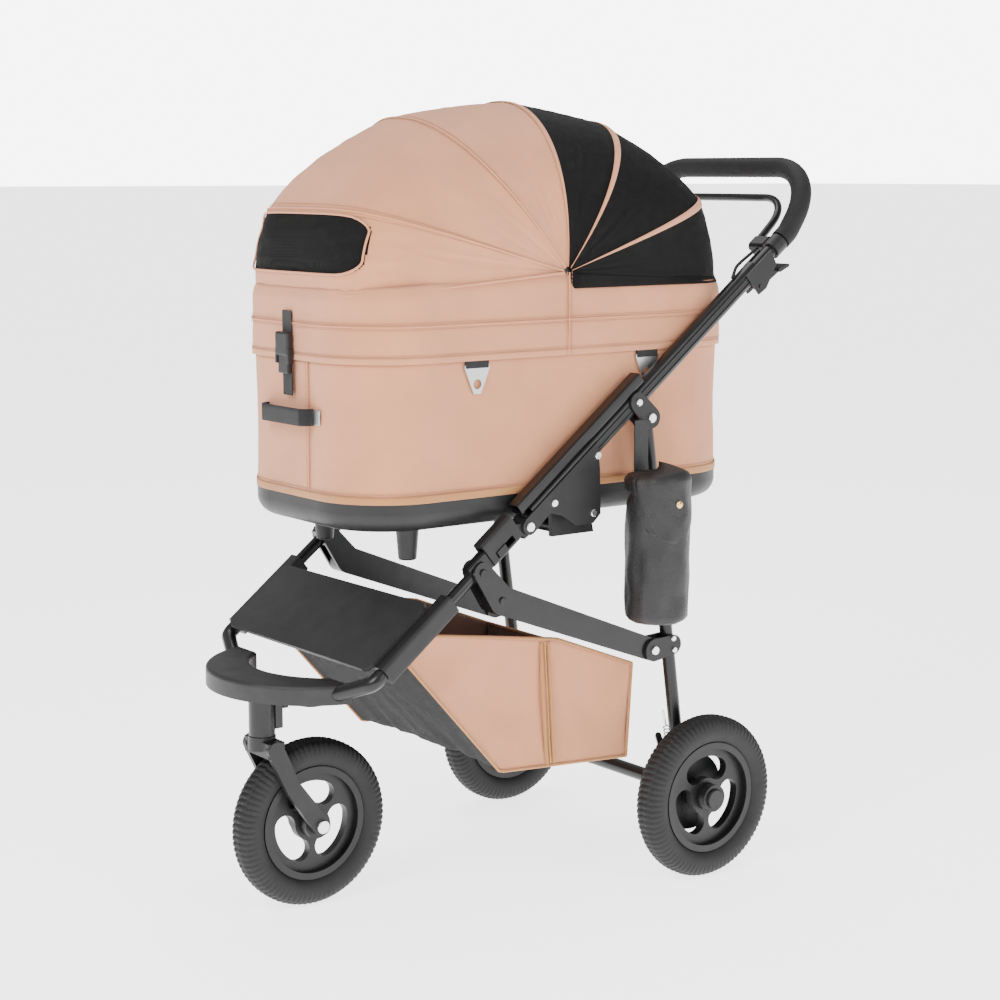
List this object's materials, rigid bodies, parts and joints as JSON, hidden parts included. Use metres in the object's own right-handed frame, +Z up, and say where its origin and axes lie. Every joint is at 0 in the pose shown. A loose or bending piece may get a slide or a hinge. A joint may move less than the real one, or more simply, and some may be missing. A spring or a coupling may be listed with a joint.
{
  "type": "pet stroller",
  "caption": "Folding pet stroller with a lift-off fabric cot, a mesh-backed hood, a storage basket and a swivelling front wheel.",
  "frame": {"origin": "bottom centre of the whole object's box: on the floor, under the middle of its length and width", "axes": "+Z up, the front wheel points to -Y and the push handle to +Y, +X is the left-hand side of the person pushing"},
  "size_m": [0.602, 0.984, 1.1713],
  "materials": {
    "tube": "black, satin",
    "bolt_steel": "polished",
    "plastic": "matt",
    "grip_foam": "matt",
    "tread": "matt",
    "wheel_plastic": "satin",
    "cloth": "woven",
    "mesh": "open mesh",
    "mat_cloth": "brushed",
    "pouch_skin": "grained",
    "plate_metal": "satin",
    "cable": "matt"
  },
  "bodies": {
    "frame": {"main_tubes": "tube", "handle_bar": "tube", "handle_grip": "grip_foam", "brake_housings": "plastic", "brake_cables": "cable", "release_brackets": "tube", "upper_brackets": "tube", "side_plates": "plastic", "cot_cradle": "tube", "frame_bolts": "bolt_steel", "bottle_pouch": "pouch_skin"},
    "brake_bar": {"brake_bar": "tube"},
    "lever_left": {"release_lever_left": "plastic"},
    "lever_right": {"release_lever_right": "plastic"},
    "front_frame": {"lock_sleeves": "plastic", "front_tubes": "tube", "tube_covers": "plastic", "footrest_panel": "plastic", "front_yoke": "tube", "foot_bumper": "plastic"},
    "lock_left": {"lock_slider_left": "plastic"},
    "lock_right": {"lock_slider_right": "plastic"},
    "swivel_lock": {"swivel_lock": "plastic"},
    "caster": {"front_fork": "plastic", "front_axle": "bolt_steel"},
    "front_wheel": {"front_tyre": "tread", "front_rim": "wheel_plastic"},
    "rear_frame": {"rear_legs": "tube", "rear_axle_tube": "tube", "rear_knuckles": "tube", "brake_drums": "plastic", "rear_bolts": "bolt_steel", "basket": "cloth"},
    "links": {"link_arms": "tube"},
    "rear_wheel_left": {"rear_tyre_left": "tread", "rear_rim_left": "wheel_plastic"},
    "rear_wheel_right": {"rear_tyre_right": "tread", "rear_rim_right": "wheel_plastic"},
    "button_left": {"hub_button_left": "wheel_plastic"},
    "button_right": {"hub_button_right": "wheel_plastic"},
    "cot": {"cot_tray": "plastic", "cot_wall": "cloth", "cot_rim": "cloth", "cot_mat": "mat_cloth", "cot_feet": "plastic", "grab_handle": "plastic", "front_buckle": "plastic", "canopy_mesh": "mesh", "canopy_hoops": "tube", "canopy_pivots": "plastic"},
    "hood_back": {"hood_hoop_b": "tube", "hood_top_panel": "cloth"},
    "hood_middle": {"hood_hoop_a": "tube", "hood_middle_panel": "cloth"},
    "hood_front": {"hood_edge": "cloth", "hood_front_panel": "cloth"},
    "ring_front_left": {"tie_ring_front_left": "plate_metal"},
    "ring_front_right": {"tie_ring_front_right": "plate_metal"},
    "ring_rear_left": {"tie_ring_rear_left": "plate_metal"},
    "ring_rear_right": {"tie_ring_rear_right": "plate_metal"}
  },
  "joints": [
    {"name": "front_fold", "type": "hinge", "parent": "frame", "child": "front_frame", "pos_m": [-0.02, -0.10426, 0.56693], "axis": [1, 0, 0], "range_deg": [0, 40], "deforming": ["basket"]},
    {"name": "rear_fold", "type": "hinge", "parent": "frame", "child": "rear_frame", "pos_m": [-0.02, 0.1232, 0.70784], "axis": [1, 0, 0], "range_deg": [0, 12.3]},
    {"name": "link_turn", "type": "hinge", "parent": "rear_frame", "child": "links", "pos_m": [-0.02, 0.134, 0.354], "axis": [1, 0, 0], "range_deg": [-3.3, 0]},
    {"name": "brake_squeeze", "type": "hinge", "parent": "frame", "child": "brake_bar", "pos_m": [-0.02, 0.38701, 0.95329], "axis": [1, 0, 0], "range_deg": [0, 7], "stiffness_Nm_per_rad": 3, "springref_deg": -8.59},
    {"name": "lever_left_pull", "type": "hinge", "parent": "frame", "child": "lever_left", "pos_m": [0.18, 0.34136, 0.89478], "axis": [1, 0, 0], "range_deg": [0, 7], "stiffness_Nm_per_rad": 0.4, "springref_deg": -8.59},
    {"name": "lock_left_draw", "type": "slide", "parent": "front_frame", "child": "lock_left", "axis": [0, 0.788, 0.6157], "range_m": [0, 0.0127]},
    {"name": "lever_right_pull", "type": "hinge", "parent": "frame", "child": "lever_right", "pos_m": [-0.22, 0.34136, 0.89478], "axis": [1, 0, 0], "range_deg": [0, 7], "stiffness_Nm_per_rad": 0.4, "springref_deg": -8.59},
    {"name": "lock_right_draw", "type": "slide", "parent": "front_frame", "child": "lock_right", "axis": [0, 0.788, 0.6157], "range_m": [0, 0.0127]},
    {"name": "swivel_lock_slide", "type": "slide", "parent": "front_frame", "child": "swivel_lock", "axis": [0, 0, -1], "range_m": [0, 0.008]},
    {"name": "caster_swivel", "type": "hinge", "parent": "front_frame", "child": "caster", "pos_m": [-0.02, -0.425, 0.3], "axis": [0, 0, 1], "continuous": true},
    {"name": "front_wheel_spin", "type": "hinge", "parent": "caster", "child": "front_wheel", "pos_m": [-0.02, -0.348, 0.125], "axis": [1, 0, 0], "continuous": true},
    {"name": "rear_wheel_left_spin", "type": "hinge", "parent": "rear_frame", "child": "rear_wheel_left", "pos_m": [0.231, 0.204, 0.125], "axis": [1, 0, 0], "continuous": true},
    {"name": "button_left_press", "type": "slide", "parent": "rear_wheel_left", "child": "button_left", "axis": [-1, 0, 0], "range_m": [0, 0.003], "stiffness_N_per_m": 300, "springref_m": -0.002},
    {"name": "rear_wheel_right_spin", "type": "hinge", "parent": "rear_frame", "child": "rear_wheel_right", "pos_m": [-0.271, 0.204, 0.125], "axis": [1, 0, 0], "continuous": true},
    {"name": "button_right_press", "type": "slide", "parent": "rear_wheel_right", "child": "button_right", "axis": [1, 0, 0], "range_m": [0, 0.003], "stiffness_N_per_m": 300, "springref_m": -0.002},
    {"name": "cot_lift", "type": "slide", "parent": "frame", "child": "cot", "axis": [0, 0, 1], "range_m": [0, 0.2]},
    {"name": "hood_back_turn", "type": "hinge", "parent": "cot", "child": "hood_back", "pos_m": [-0.02, -0.012, 0.925], "axis": [-1, 0, 0], "range_deg": [0, 28], "deforming": ["hood_top_panel"]},
    {"name": "hood_middle_turn", "type": "hinge", "parent": "hood_back", "child": "hood_middle", "pos_m": [-0.02, -0.012, 0.925], "axis": [-1, 0, 0], "range_deg": [0, 24.6], "deforming": ["hood_middle_panel"]},
    {"name": "hood_front_turn", "type": "hinge", "parent": "hood_middle", "child": "hood_front", "pos_m": [-0.02, -0.012, 0.925], "axis": [-1, 0, 0], "range_deg": [0, 11.1], "deforming": ["hood_front_panel"]},
    {"name": "ring_front_left_swing", "type": "hinge", "parent": "cot", "child": "ring_front_left", "pos_m": [0.1634, -0.175, 0.801], "axis": [0, -1, 0], "range_deg": [0, 80]},
    {"name": "ring_front_right_swing", "type": "hinge", "parent": "cot", "child": "ring_front_right", "pos_m": [-0.2034, -0.175, 0.801], "axis": [0, 1, 0], "range_deg": [0, 80]},
    {"name": "ring_rear_left_swing", "type": "hinge", "parent": "cot", "child": "ring_rear_left", "pos_m": [0.1634, 0.139, 0.801], "axis": [0, -1, 0], "range_deg": [0, 5]},
    {"name": "ring_rear_right_swing", "type": "hinge", "parent": "cot", "child": "ring_rear_right", "pos_m": [-0.2034, 0.139, 0.801], "axis": [0, 1, 0], "range_deg": [0, 5]}
  ],
  "couplings": [
    {"joint": "rear_fold", "follows": "front_fold", "ratio": 0.305},
    {"joint": "link_turn", "follows": "front_fold", "ratio": -0.08},
    {"joint": "lock_left_draw", "follows": "lever_left_pull", "m_per_rad": 0.098},
    {"joint": "lock_right_draw", "follows": "lever_right_pull", "m_per_rad": 0.098},
    {"joint": "hood_middle_turn", "follows": "hood_back_turn", "ratio": 0.875},
    {"joint": "hood_front_turn", "follows": "hood_back_turn", "ratio": 0.393}
  ]
}
